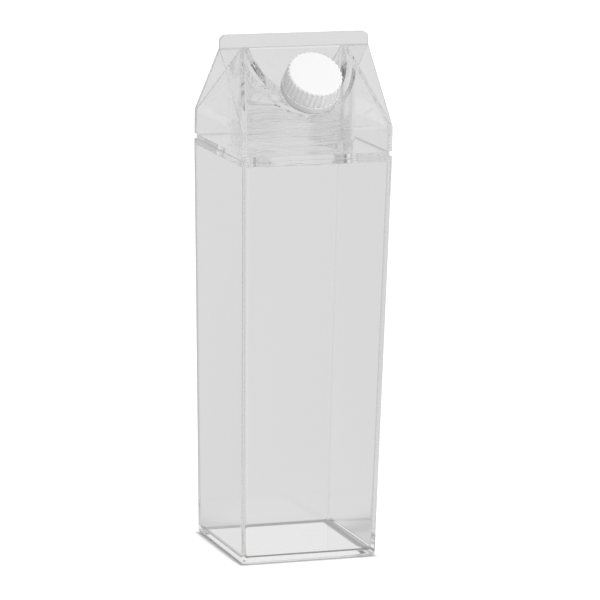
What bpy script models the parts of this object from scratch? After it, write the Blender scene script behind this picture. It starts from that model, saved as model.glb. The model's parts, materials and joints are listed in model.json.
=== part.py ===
"""Clear acrylic bottle in the shape of a gable-top milk carton.

A square box with a screw neck carries a gable-shaped top, and a white screw cap
closes the slanted spout in the pocket of that top.

Metres, +Z up. The bottle stands on Z = 0 with its middle on the Z axis. The spout
leans towards -Y, and the ridge runs along X.
"""

import math

import bmesh
import bpy
from mathutils import Matrix, Vector

# Driving dimensions of the box
FOOT_HALF = 0.0364
SHOULDER_HALF = 0.0402
SHOULDER_Z = 0.2099
CEILING_Z = 0.2072
FLOOR_THICKNESS = 0.0030
BOX_WALL = 0.0018
BOX_CORNER = 0.0011
FOOT_ROUND = 0.0010
INNER_CORNER = 0.0014
INNER_FOOT_ROUND = 0.0013
STEP_HALF = 0.0392
STEP_Z = 0.2121

# Neck on the box, with a thread that the top screws on to
NECK_RADIUS = 0.0287
NECK_BORE_RADIUS = 0.0273
NECK_Z = 0.2265
THREAD_DEPTH = 0.0008
THREAD_PITCH = 0.0067
THREAD_BASE = 0.0022
THREAD_CREST = 0.0010
NECK_THREAD_START_Z = 0.2148
NECK_THREAD_TURNS = 1.45
THREAD_START_ANGLE = math.radians(-150.0)
THREAD_STEPS_PER_TURN = 48

# Stop lug that stands on the step beside the neck
LUG_RADIUS = 0.0343
LUG_ANGLE = math.radians(-53.8)
LUG_SIZE = (0.0020, 0.0060, 0.0045)

# Gable top
TOP_HALF = 0.0400
TOP_FOOT_Z = 0.2124
EAVE_Z = 0.2254
RIDGE_Z = 0.2635
FIN_Z = 0.2690
FIN_THICKNESS = 0.0030
FIN_CORNER = 0.0034
FIN_FILLET = 0.0023
TOP_WALL = 0.0019
PANEL_SETBACK = 0.0119

# Inside the top: a threaded collar, and in it a cup whose upper side is the pocket
COLLAR_RADIUS = 0.0317
COLLAR_BORE_RADIUS = 0.0298
COLLAR_FOOT_Z = 0.2127
POCKET_RADIUS = 0.0246
CUP_RADIUS = 0.0270
CUP_FOOT_Z = 0.2160
CHAMBER_RADIUS = 0.0248
POCKET_FLOOR_Z = 0.2354
POCKET_FLOOR_THICKNESS = 0.0020
COLLAR_THREAD_TURNS = 1.2

# Spout, square to the front slope, and the cap on it
SPOUT_SEAT = Vector((0.0, -0.0246, 0.2428))
SPOUT_RADIUS = 0.0124
SPOUT_BORE_RADIUS = 0.0104
SPOUT_FOOT_Z = 0.2315
SPOUT_RISE = 0.0118
SPOUT_DEPTH = 0.0260
FLANGE_RADIUS = 0.0142
FLANGE_THICKNESS = 0.0010
FLANGE_DROP = 0.0004

CAP_HEIGHT = 0.0141
CAP_BAND_RADIUS = 0.0148
CAP_BAND_HEIGHT = 0.0039
CAP_SLIT = 0.0005
CAP_SLIT_RADIUS = 0.0134
CAP_SKIRT_RADIUS = 0.0148
CAP_TOP_RADIUS = 0.0146
CAP_TOP_ROUND = 0.0012
CAP_BORE_RADIUS = 0.0129
CAP_TOP_THICKNESS = 0.0015
CAP_FLUTES = 34
CAP_FLUTE_DEPTH = 0.0003

# Fineness of the round shapes
ROUND_STEPS = 64
SPOUT_STEPS = 48
CORNER_STEPS = 3
MERGE_DISTANCE = 0.00002
CUT_MARGIN = 0.005

SLOPE = math.atan2(RIDGE_Z - EAVE_Z, TOP_HALF)
PANEL_LEAN = math.atan2(PANEL_SETBACK, RIDGE_Z - EAVE_Z)


def clear_scene():
    """Removes every object of the open file."""
    for obj in list(bpy.data.objects):
        bpy.data.objects.remove(obj, do_unlink=True)


def make_collection(name):
    """Makes a collection under the scene's own."""
    collection = bpy.data.collections.new(name)
    bpy.context.scene.collection.children.link(collection)
    return collection


def make_material(name, color, roughness, transmission=0.0):
    """Makes a plain Principled material."""
    material = bpy.data.materials.new(name)
    material.use_nodes = True
    shader = material.node_tree.nodes["Principled BSDF"]
    shader.inputs["Base Color"].default_value = (*color, 1.0)
    shader.inputs["Roughness"].default_value = roughness
    shader.inputs["Metallic"].default_value = 0.0
    shader.inputs["Transmission Weight"].default_value = transmission
    shader.inputs["IOR"].default_value = 1.49
    return material


def add_object(name, mesh, collection):
    """Adds a mesh to a collection as a named object."""
    obj = bpy.data.objects.new(name, mesh)
    collection.objects.link(obj)
    if collection.name == "shaping":
        obj.hide_render = True
        obj.display_type = "WIRE"
    return obj


def object_from_bmesh(name, bm, collection):
    """Turns a bmesh into a named object."""
    mesh = bpy.data.meshes.new(name)
    bm.to_mesh(mesh)
    bm.free()
    return add_object(name, mesh, collection)


def tapered_box(name, heights, halves, corner, foot_round, collection):
    """Square box that widens from foot to head, with rounded upright and foot edges."""
    low, high = heights
    bm = bmesh.new()
    bmesh.ops.create_cube(bm, size=2.0)
    for vertex in bm.verts:
        half = halves[0] if vertex.co.z < 0.0 else halves[1]
        level = low if vertex.co.z < 0.0 else high
        vertex.co = Vector((vertex.co.x * half, vertex.co.y * half, level))
    upright = [e for e in bm.edges if abs(e.verts[0].co.z - e.verts[1].co.z) > MERGE_DISTANCE]
    bmesh.ops.bevel(bm, geom=upright, offset=corner, segments=CORNER_STEPS, profile=0.5, affect="EDGES")
    if foot_round > 0.0:
        foot = [e for e in bm.edges if all(abs(v.co.z - low) < MERGE_DISTANCE for v in e.verts)]
        bmesh.ops.bevel(bm, geom=foot, offset=foot_round, segments=CORNER_STEPS, profile=0.5, affect="EDGES")
    return object_from_bmesh(name, bm, collection)


def turned(name, profile, steps, collection, closed):
    """Turns a profile of (radius, height) points round the Z axis.

    The profile runs down the outer side. A closed profile makes a ring, and an open
    one starts and ends on the axis.
    """
    mesh = bpy.data.meshes.new(name)
    points = [(radius, 0.0, height) for radius, height in profile]
    edges = [(i, i + 1) for i in range(len(points) - 1)]
    if closed:
        edges.append((len(points) - 1, 0))
    mesh.from_pydata(points, edges, [])
    obj = add_object(name, mesh, collection)
    screw = obj.modifiers.new("turn", "SCREW")
    screw.steps = steps
    screw.render_steps = steps
    screw.use_merge_vertices = True
    screw.merge_threshold = MERGE_DISTANCE
    return obj


def cylinder(name, radius, low, high, steps, collection):
    """Plain upright cylinder about the Z axis."""
    profile = [(0.0, high), (radius, high), (radius, low), (0.0, low)]
    return turned(name, profile, steps, collection, closed=False)


def tube(name, radius, bore, low, high, steps, collection):
    """Plain upright tube about the Z axis."""
    profile = [(bore, high), (radius, high), (radius, low), (bore, low)]
    return turned(name, profile, steps, collection, closed=True)


def hull(name, points, collection):
    """Solid with flat faces round a few corner points."""
    bm = bmesh.new()
    for point in points:
        bm.verts.new(point)
    bmesh.ops.convex_hull(bm, input=bm.verts)
    bmesh.ops.dissolve_limit(bm, angle_limit=math.radians(0.1), verts=bm.verts, edges=bm.edges)
    bmesh.ops.recalc_face_normals(bm, faces=bm.faces)
    return object_from_bmesh(name, bm, collection)


def plate(name, outline, thickness, turn, collection):
    """Flat plate from a 2-D curve, turned to its plane and made a mesh."""
    curve = bpy.data.curves.new(name, "CURVE")
    curve.dimensions = "2D"
    curve.fill_mode = "BOTH"
    curve.extrude = thickness / 2.0
    spline = curve.splines.new("POLY")
    spline.points.add(len(outline) - 1)
    for point, (across, up) in zip(spline.points, outline):
        point.co = (across, up, 0.0, 1.0)
    spline.use_cyclic_u = True
    holder = bpy.data.objects.new(name + "_curve", curve)
    bpy.context.scene.collection.objects.link(holder)
    bpy.context.view_layer.update()
    evaluated = holder.evaluated_get(bpy.context.evaluated_depsgraph_get())
    mesh = bpy.data.meshes.new_from_object(evaluated)
    bpy.data.objects.remove(holder, do_unlink=True)
    bm = bmesh.new()
    bm.from_mesh(mesh)
    bmesh.ops.remove_doubles(bm, verts=bm.verts, dist=MERGE_DISTANCE)
    bmesh.ops.transform(bm, matrix=turn, verts=bm.verts)
    bmesh.ops.recalc_face_normals(bm, faces=bm.faces)
    bpy.data.meshes.remove(mesh)
    return object_from_bmesh(name, bm, collection)


def combine(target, other, operation):
    """Joins, cuts or trims the target by another object."""
    modifier = target.modifiers.new(operation.lower() + "_" + other.name, "BOOLEAN")
    modifier.operation = operation
    modifier.solver = "EXACT"
    modifier.object = other


def thread(name, radius, depth, start_z, turns, start_angle, collection):
    """Helical ridge on a cylinder. A negative depth points inwards, for a nut.

    Both ends fade into the wall, and the root is sunk a little into it.
    """
    sink = -0.0004 if depth > 0.0 else 0.0004
    steps = round(turns * THREAD_STEPS_PER_TURN)
    fade = THREAD_STEPS_PER_TURN // 8
    bm = bmesh.new()
    rings = []
    for step in range(steps + 1):
        share = min(1.0, (min(step, steps - step) + 1.0) / fade)
        angle = start_angle + math.tau * step / THREAD_STEPS_PER_TURN
        middle = start_z + THREAD_PITCH * step / THREAD_STEPS_PER_TURN
        crest = radius + depth * share
        root = radius + sink
        section = (
            (root, middle - THREAD_BASE / 2.0),
            (crest, middle - THREAD_CREST / 2.0),
            (crest, middle + THREAD_CREST / 2.0),
            (root, middle + THREAD_BASE / 2.0),
        )
        rings.append([bm.verts.new((r * math.cos(angle), r * math.sin(angle), z)) for r, z in section])
    for first, second in zip(rings, rings[1:]):
        for i in range(4):
            j = (i + 1) % 4
            bm.faces.new((first[i], second[i], second[j], first[j]))
    bm.faces.new(rings[0])
    bm.faces.new(list(reversed(rings[-1])))
    bmesh.ops.recalc_face_normals(bm, faces=bm.faces)
    return object_from_bmesh(name, bm, collection)


def box_half(height):
    """Half width of the box outside, at a height."""
    return FOOT_HALF + (SHOULDER_HALF - FOOT_HALF) * height / SHOULDER_Z


def panel_x(height):
    """Where a folded side panel's outer face is, at a height on the middle plane."""
    return TOP_HALF - PANEL_SETBACK * (height - EAVE_Z) / (RIDGE_Z - EAVE_Z)


def hip_corners(inset, foot):
    """Corner points of the gable's inner form, set in from the outside by a distance."""
    half = TOP_HALF - inset
    ridge = RIDGE_Z - inset / math.cos(SLOPE)
    eave = ridge - half * math.tan(SLOPE)
    ridge_half = panel_x(ridge) - inset / math.cos(PANEL_LEAN)
    points = [(x * half, y * half, z) for x in (-1, 1) for y in (-1, 1) for z in (foot, eave)]
    points += [(x * ridge_half, 0.0, ridge) for x in (-1, 1)]
    return points


def spout_matrix():
    """Frame of the spout: its seat as origin, and Z along its axis."""
    return Matrix.Translation(SPOUT_SEAT) @ Matrix.Rotation(SLOPE, 4, "X")


def on_spout(obj):
    """Places a piece that was made about the Z axis on the spout's axis."""
    obj.location = SPOUT_SEAT
    obj.rotation_euler = (SLOPE, 0.0, 0.0)
    return obj


def finish_round(obj):
    """Smooth shading, with the true edges kept sharp."""
    obj.data.shade_smooth()
    obj.data.set_sharp_from_angle(angle=math.radians(30.0))


def build_body(parts, shaping, material):
    """Square box with its floor, shoulder, step, threaded neck and stop lug."""
    body = tapered_box("bottle_body", (0.0, SHOULDER_Z), (FOOT_HALF, SHOULDER_HALF),
                       BOX_CORNER, FOOT_ROUND, parts)
    step = tapered_box("body_step", (CEILING_Z + 0.001, STEP_Z), (STEP_HALF, STEP_HALF),
                       BOX_CORNER, 0.0, shaping)
    combine(body, step, "UNION")
    neck = cylinder("body_neck", NECK_RADIUS, CEILING_Z + 0.001, NECK_Z, ROUND_STEPS, shaping)
    combine(body, neck, "UNION")
    ridge = thread("neck_thread", NECK_RADIUS, THREAD_DEPTH, NECK_THREAD_START_Z,
                   NECK_THREAD_TURNS, THREAD_START_ANGLE, shaping)
    combine(body, ridge, "UNION")

    bm = bmesh.new()
    bmesh.ops.create_cube(bm, size=1.0)
    bmesh.ops.scale(bm, vec=(LUG_SIZE[0], LUG_SIZE[1], LUG_SIZE[2] + 0.001), verts=bm.verts)
    lug = object_from_bmesh("stop_lug", bm, shaping)
    lug_height = STEP_Z + (LUG_SIZE[2] - 0.001) / 2.0
    lug.location = (LUG_RADIUS * math.cos(LUG_ANGLE), LUG_RADIUS * math.sin(LUG_ANGLE), lug_height)
    lug.rotation_euler = (0.0, 0.0, LUG_ANGLE)
    combine(body, lug, "UNION")

    inside = tapered_box("body_inside", (FLOOR_THICKNESS, CEILING_Z),
                         (box_half(FLOOR_THICKNESS) - BOX_WALL, box_half(CEILING_Z) - BOX_WALL),
                         INNER_CORNER, INNER_FOOT_ROUND, shaping)
    combine(body, inside, "DIFFERENCE")
    bore = cylinder("neck_bore", NECK_BORE_RADIUS, CEILING_Z - CUT_MARGIN, NECK_Z + CUT_MARGIN,
                    ROUND_STEPS, shaping)
    combine(body, bore, "DIFFERENCE")
    body.data.materials.append(material)
    return body


def gable_section():
    """Gable and fin seen from the side, in Y and Z, with a fillet at the foot of the fin."""
    fin_half = FIN_THICKNESS / 2.0
    turn = math.pi / 2.0 - SLOPE
    centre_y = fin_half + FIN_FILLET
    centre_z = RIDGE_Z - fin_half * math.tan(SLOPE) + FIN_FILLET * math.tan(turn / 2.0)
    half = [(fin_half, FIN_Z + CUT_MARGIN)]
    for step in range(CORNER_STEPS + 1):
        angle = math.pi + turn * step / CORNER_STEPS
        half.append((centre_y + FIN_FILLET * math.cos(angle), centre_z + FIN_FILLET * math.sin(angle)))
    half += [(TOP_HALF, EAVE_Z), (TOP_HALF, TOP_FOOT_Z)]
    return half + [(-y, z) for y, z in reversed(half)]


def front_outline():
    """Gable and fin seen from the front, in X and Z, with the fin's rounded corners."""
    half = []
    for step in range(5):
        angle = math.radians(90.0 - 22.5 * step)
        half.append((TOP_HALF - FIN_CORNER + FIN_CORNER * math.cos(angle),
                     FIN_Z - FIN_CORNER + FIN_CORNER * math.sin(angle)))
    half.append((TOP_HALF, TOP_FOOT_Z - CUT_MARGIN))
    return half + [(-x, z) for x, z in reversed(half)]


def gable_envelope(parts, shaping):
    """Full outer form of the top: gable, fin, and the folded-in side panels."""
    # One plate runs along X, and a second along Y trims it to the view from the front
    along_x = Matrix(((0, 0, 1, 0), (1, 0, 0, 0), (0, 1, 0, 0), (0, 0, 0, 1)))
    along_y = Matrix(((1, 0, 0, 0), (0, 0, 1, 0), (0, 1, 0, 0), (0, 0, 0, 1)))
    wide = TOP_HALF + CUT_MARGIN
    top = plate("gable_top", gable_section(), 2.0 * wide, along_x, parts)
    combine(top, plate("front_view", front_outline(), 2.0 * wide, along_y, shaping), "INTERSECT")

    # Folded-in side panels leave a wedge open under the ends of the two slopes
    inner_ridge = RIDGE_Z - TOP_WALL / math.cos(SLOPE)
    eave_y = (inner_ridge - EAVE_Z) / math.tan(SLOPE)
    for side, name in ((-1, "left_fold"), (1, "right_fold")):
        points = [(side * TOP_HALF, y * eave_y, EAVE_Z) for y in (-1, 1)]
        points += [(side * wide, y * eave_y, EAVE_Z) for y in (-1, 1)]
        points += [(side * panel_x(inner_ridge), 0.0, inner_ridge), (side * wide, 0.0, inner_ridge)]
        combine(top, hull(name, points, shaping), "DIFFERENCE")
    return top


def build_top(parts, shaping, material):
    """Gable top: folded shell, threaded collar, pocket and spout."""
    top = gable_envelope(parts, shaping)
    combine(top, hull("top_inside", hip_corners(TOP_WALL, TOP_FOOT_Z - CUT_MARGIN), shaping), "DIFFERENCE")

    # The collar and the pocket's cup run up into the shell's thickness, and are trimmed there
    core = tube("collar", COLLAR_RADIUS, COLLAR_BORE_RADIUS, COLLAR_FOOT_Z, RIDGE_Z, ROUND_STEPS, shaping)
    nut_start = NECK_THREAD_START_Z + THREAD_PITCH / 2.0
    combine(core, thread("collar_thread", COLLAR_BORE_RADIUS, -THREAD_DEPTH, nut_start,
                         COLLAR_THREAD_TURNS, THREAD_START_ANGLE, shaping), "UNION")
    chamber_z = POCKET_FLOOR_Z - POCKET_FLOOR_THICKNESS
    cup = turned("pocket_cup", [
        (0.0, RIDGE_Z), (CUP_RADIUS, RIDGE_Z), (CUP_RADIUS, CUP_FOOT_Z),
        (CHAMBER_RADIUS, CUP_FOOT_Z), (CHAMBER_RADIUS, chamber_z), (0.0, chamber_z)],
        ROUND_STEPS, shaping, closed=False)
    combine(core, cup, "UNION")
    trim = hull("core_trim", hip_corners(TOP_WALL / 2.0, TOP_FOOT_Z - CUT_MARGIN), shaping)
    combine(core, trim, "INTERSECT")
    combine(top, core, "UNION")

    # Pocket: an upright round cut through the front slope, up to the back slope's inner face
    inner_ridge = RIDGE_Z - TOP_WALL / math.cos(SLOPE)
    back_y = (inner_ridge - POCKET_FLOOR_Z) / math.tan(SLOPE)
    fin_foot = RIDGE_Z - FIN_THICKNESS / 2.0 * math.tan(SLOPE)
    wide = TOP_HALF + CUT_MARGIN
    wedge = hull("pocket_wedge", [(x * wide, y, z) for x in (-1, 1) for y, z in (
        (-wide, POCKET_FLOOR_Z), (back_y, POCKET_FLOOR_Z), (0.0, inner_ridge),
        (-FIN_THICKNESS / 2.0, fin_foot), (-wide, fin_foot))], shaping)
    pocket = cylinder("pocket_cut", POCKET_RADIUS, POCKET_FLOOR_Z - CUT_MARGIN, FIN_Z, ROUND_STEPS, shaping)
    combine(pocket, wedge, "INTERSECT")
    combine(top, pocket, "DIFFERENCE")

    # Spout, trimmed level at its foot, then bored
    spout = on_spout(turned("spout", [
        (0.0, SPOUT_RISE), (SPOUT_RADIUS, SPOUT_RISE), (SPOUT_RADIUS, -FLANGE_DROP),
        (FLANGE_RADIUS, -FLANGE_DROP), (FLANGE_RADIUS, -FLANGE_DROP - FLANGE_THICKNESS),
        (SPOUT_RADIUS, -FLANGE_DROP - FLANGE_THICKNESS), (SPOUT_RADIUS, -SPOUT_DEPTH),
        (0.0, -SPOUT_DEPTH)], SPOUT_STEPS, shaping, closed=False))
    above_foot = hull("spout_trim", [(x * wide, y * wide, z) for x in (-1, 1) for y in (-1, 1)
                                     for z in (SPOUT_FOOT_Z, FIN_Z)], shaping)
    combine(spout, above_foot, "INTERSECT")
    combine(top, spout, "UNION")
    bore = on_spout(cylinder("spout_bore", SPOUT_BORE_RADIUS, -SPOUT_DEPTH, SPOUT_RISE + CUT_MARGIN,
                             SPOUT_STEPS, shaping))
    combine(top, bore, "DIFFERENCE")

    top.data.materials.append(material)
    return top


def build_cap(parts, material):
    """White screw cap with a fluted skirt, and the tamper band under it."""
    slit_high = CAP_BAND_HEIGHT + CAP_SLIT
    round_foot = CAP_HEIGHT - CAP_TOP_ROUND
    profile = [(0.0, CAP_HEIGHT)]
    for step in range(4):
        angle = math.radians(90.0 - 30.0 * step)
        profile.append((CAP_TOP_RADIUS - CAP_TOP_ROUND + CAP_TOP_ROUND * math.cos(angle),
                        round_foot + CAP_TOP_ROUND * math.sin(angle)))
    profile += [
        (CAP_SKIRT_RADIUS, slit_high),
        (CAP_SLIT_RADIUS, slit_high),
        (CAP_SLIT_RADIUS, CAP_BAND_HEIGHT),
        (CAP_BAND_RADIUS, CAP_BAND_HEIGHT),
        (CAP_BAND_RADIUS, 0.0),
        (CAP_BORE_RADIUS, 0.0),
        (CAP_BORE_RADIUS, CAP_HEIGHT - CAP_TOP_THICKNESS),
        (0.0, CAP_HEIGHT - CAP_TOP_THICKNESS),
    ]
    turned_cap = turned("cap_blank", profile, 2 * CAP_FLUTES, parts, closed=False)
    bpy.context.view_layer.update()
    mesh = bpy.data.meshes.new_from_object(turned_cap.evaluated_get(bpy.context.evaluated_depsgraph_get()))
    bpy.data.objects.remove(turned_cap, do_unlink=True)
    for vertex in mesh.vertices:
        radius = math.hypot(vertex.co.x, vertex.co.y)
        on_skirt = radius > CAP_SLIT_RADIUS + MERGE_DISTANCE and vertex.co.z > CAP_BAND_HEIGHT + MERGE_DISTANCE
        if on_skirt and vertex.co.z < round_foot + MERGE_DISTANCE:
            spoke = round(math.atan2(vertex.co.y, vertex.co.x) / math.tau * 2 * CAP_FLUTES)
            if spoke % 2:
                vertex.co.x *= 1.0 - CAP_FLUTE_DEPTH / radius
                vertex.co.y *= 1.0 - CAP_FLUTE_DEPTH / radius
    mesh.name = "screw_cap"
    cap = add_object("screw_cap", mesh, parts)
    cap.data.materials.append(material)
    return on_spout(cap)


def main():
    """Builds the bottle's three pieces."""
    clear_scene()
    parts = make_collection("acrylic_milk_carton_bottle")
    shaping = make_collection("shaping")
    clear_acrylic = make_material("clear_acrylic", (0.93, 0.94, 0.94), 0.05, transmission=0.9)
    white_plastic = make_material("white_plastic", (0.90, 0.90, 0.89), 0.35)
    body = build_body(parts, shaping, clear_acrylic)
    top = build_top(parts, shaping, clear_acrylic)
    cap = build_cap(parts, white_plastic)
    for piece in (body, top, cap):
        finish_round(piece)


main()
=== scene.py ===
"""Looks of a clear acrylic bottle in the shape of a gable-top milk carton.

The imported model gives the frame. Each clear piece is rebuilt here with fine rounds and
stands for its plain solid. So are the white cap, its ribs, its tamper band and the bridges.
Metres, +Z up: the bottle stands on Z = 0, its ridge runs along X, and its spout
leans towards -Y.
"""

from __future__ import annotations

import json
import logging
import math
from dataclasses import dataclass
from enum import Enum

import bmesh
import bpy
from mathutils import Matrix, Vector

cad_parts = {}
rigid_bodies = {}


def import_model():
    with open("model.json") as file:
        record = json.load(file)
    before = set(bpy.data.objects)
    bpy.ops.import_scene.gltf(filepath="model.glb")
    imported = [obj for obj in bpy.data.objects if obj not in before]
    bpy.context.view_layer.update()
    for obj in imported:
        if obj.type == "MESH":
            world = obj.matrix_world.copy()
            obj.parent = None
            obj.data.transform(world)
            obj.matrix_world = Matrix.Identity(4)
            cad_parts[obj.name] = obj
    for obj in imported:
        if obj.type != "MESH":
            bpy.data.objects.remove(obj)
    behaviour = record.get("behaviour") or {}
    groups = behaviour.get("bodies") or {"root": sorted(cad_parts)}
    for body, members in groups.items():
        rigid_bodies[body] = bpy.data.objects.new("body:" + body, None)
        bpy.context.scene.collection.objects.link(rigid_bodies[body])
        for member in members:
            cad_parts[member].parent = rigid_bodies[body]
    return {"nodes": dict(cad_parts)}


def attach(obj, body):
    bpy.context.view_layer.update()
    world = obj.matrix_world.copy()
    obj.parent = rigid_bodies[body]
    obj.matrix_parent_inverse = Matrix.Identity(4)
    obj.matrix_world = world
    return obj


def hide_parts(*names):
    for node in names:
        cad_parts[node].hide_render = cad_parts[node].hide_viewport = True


LOG = logging.getLogger("carton_bottle")

Socket = bpy.types.NodeSocket

MERGE_DISTANCE = 0.00001
CUT_MARGIN = 0.005


class Operation(Enum):
    """How one solid changes another."""

    JOIN = "UNION"
    CUT = "DIFFERENCE"
    TRIM = "INTERSECT"


class Quality(Enum):
    """Steps round a full turn, by the size of what is turned."""

    LARGE = 192
    MEDIUM = 144


class Tree:
    """Adds nodes to a node tree, sets them and joins them."""

    def __init__(self, group: bpy.types.NodeTree) -> None:
        """Takes the tree that gets the nodes."""
        self.group = group

    def node(
        self, kind: str, values: dict[str | int, object] | None = None, **settings: object
    ) -> bpy.types.Node:
        """Adds a node, with its properties and its own inputs set.

        Args:
            kind: The node's type.
            values: A value for each input that nothing feeds, by its name or its index.
            **settings: The node's properties.

        Returns:
            The node.
        """
        made = self.group.nodes.new(kind)
        for key, value in settings.items():
            setattr(made, key, value)
        for key, value in (values or {}).items():
            made.inputs[key].default_value = value
        return made

    def link(self, source: Socket, target: Socket) -> None:
        """Joins two sockets."""
        self.group.links.new(source, target)

    def math(self, operation: str, *parts: Socket | float) -> Socket:
        """Adds a Math node on sockets or numbers, and gives its result."""
        made = self.node("ShaderNodeMath", operation=operation)
        for index, part in enumerate(parts):
            if isinstance(part, Socket):
                self.link(part, made.inputs[index])
            else:
                made.inputs[index].default_value = float(part)
        return made.outputs[0]

    def ease(self, value: Socket, low: float, high: float, top: float = 1.0) -> Socket:
        """Smooth step from nothing at the low value to the top at the high one."""
        made = self.node("ShaderNodeMapRange", {"From Min": low, "From Max": high, "To Max": top},
                         interpolation_type="SMOOTHSTEP")
        self.link(value, made.inputs["Value"])
        return made.outputs["Result"]

    def blend(self, share: Socket, first: Socket | float, second: Socket | float) -> Socket:
        """Adds a Mix node on numbers, and gives its result."""
        made = self.node("ShaderNodeMix", data_type="FLOAT")
        self.link(share, made.inputs[0])
        for index, part in ((2, first), (3, second)):
            if isinstance(part, Socket):
                self.link(part, made.inputs[index])
            else:
                made.inputs[index].default_value = part
        return made.outputs[0]

    def bump(self, height: Socket, strength: float, distance: float) -> Socket:
        """Adds a Bump node, and gives its normal."""
        made = self.node("ShaderNodeBump", {"Strength": strength, "Distance": distance})
        self.link(height, made.inputs["Height"])
        return made.outputs["Normal"]

    def noise(self, scale: float, detail: float) -> Socket:
        """Adds noise on the piece's own coordinates, and gives its value."""
        place = self.node("ShaderNodeTexCoord")
        made = self.node("ShaderNodeTexNoise", {"Scale": scale, "Detail": detail})
        self.link(place.outputs["Object"], made.inputs["Vector"])
        return made.outputs["Fac"]

    def eye_or_light(self, to_light: bpy.types.Node, to_eye: bpy.types.Node, target: Socket) -> None:
        """Shows one shader to the camera, and another to the light that goes through the bottle."""
        mix = self.node("ShaderNodeMixShader")
        self.link(self.node("ShaderNodeLightPath").outputs["Is Camera Ray"], mix.inputs[0])
        self.link(to_light.outputs[0], mix.inputs[1])
        self.link(to_eye.outputs[0], mix.inputs[2])
        self.link(mix.outputs[0], target)


@dataclass(frozen=True)
class ClearAcrylic:
    """Clear polished acrylic, with the faint waviness of a moulded wall."""

    name: str
    tint: tuple[float, float, float] = (0.985, 0.985, 0.985)
    roughness: float = 0.0
    ior: float = 1.49
    wave_scale: float = 60.0
    wave_detail: float = 1.0
    wave_strength: float = 0.25
    wave_height: float = 0.000010
    smoke: tuple[float, float, float] = (0.5, 0.5, 0.5)
    smoke_density: float = 1.5

    def material(self) -> bpy.types.Material:
        """Builds the material.

        Returns:
            A Principled material that lets light through and greys it on long ways.
        """
        material = bpy.data.materials.new(self.name)
        material.use_nodes = True
        tree = Tree(material.node_tree)
        shader = tree.group.nodes["Principled BSDF"]
        shader.inputs["Base Color"].default_value = (*self.tint, 1.0)
        shader.inputs["Roughness"].default_value = self.roughness
        shader.inputs["IOR"].default_value = self.ior
        shader.inputs["Transmission Weight"].default_value = 1.0
        wave = tree.noise(self.wave_scale, self.wave_detail)
        tree.link(tree.bump(wave, self.wave_strength, self.wave_height), shader.inputs["Normal"])
        smoke = tree.node("ShaderNodeVolumeAbsorption",
                          {"Color": (*self.smoke, 1.0), "Density": self.smoke_density})
        tree.link(smoke.outputs["Volume"], tree.group.nodes["Material Output"].inputs["Volume"])
        return material


@dataclass(frozen=True)
class WhitePlastic:
    """Satin white moulded plastic with a fine grain."""

    name: str
    color: tuple[float, float, float] = (0.94, 0.94, 0.94)
    roughness: float = 0.42
    roughness_spread: float = 0.06
    ior: float = 1.5
    grain_scale: float = 900.0
    grain_detail: float = 3.0
    grain_strength: float = 0.3
    grain_height: float = 0.00003
    softness: float = 0.12
    soft_depth: float = 0.0008

    def material(self) -> bpy.types.Material:
        """Builds the material.

        Returns:
            A Principled material with a little light inside it.
        """
        material = bpy.data.materials.new(self.name)
        material.use_nodes = True
        tree = Tree(material.node_tree)
        shader = tree.group.nodes["Principled BSDF"]
        shader.inputs["Base Color"].default_value = (*self.color, 1.0)
        shader.inputs["Subsurface Weight"].default_value = self.softness
        shader.inputs["Subsurface Radius"].default_value = (1.0, 1.0, 1.0)
        shader.inputs["Subsurface Scale"].default_value = self.soft_depth
        shader.inputs["IOR"].default_value = self.ior
        grain = tree.noise(self.grain_scale, self.grain_detail)
        spread = tree.node("ShaderNodeMapRange", {
            "To Min": self.roughness - self.roughness_spread,
            "To Max": self.roughness + self.roughness_spread,
        })
        tree.link(grain, spread.inputs["Value"])
        tree.link(spread.outputs["Result"], shader.inputs["Roughness"])
        tree.link(tree.bump(grain, self.grain_strength, self.grain_height), shader.inputs["Normal"])
        return material


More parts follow.
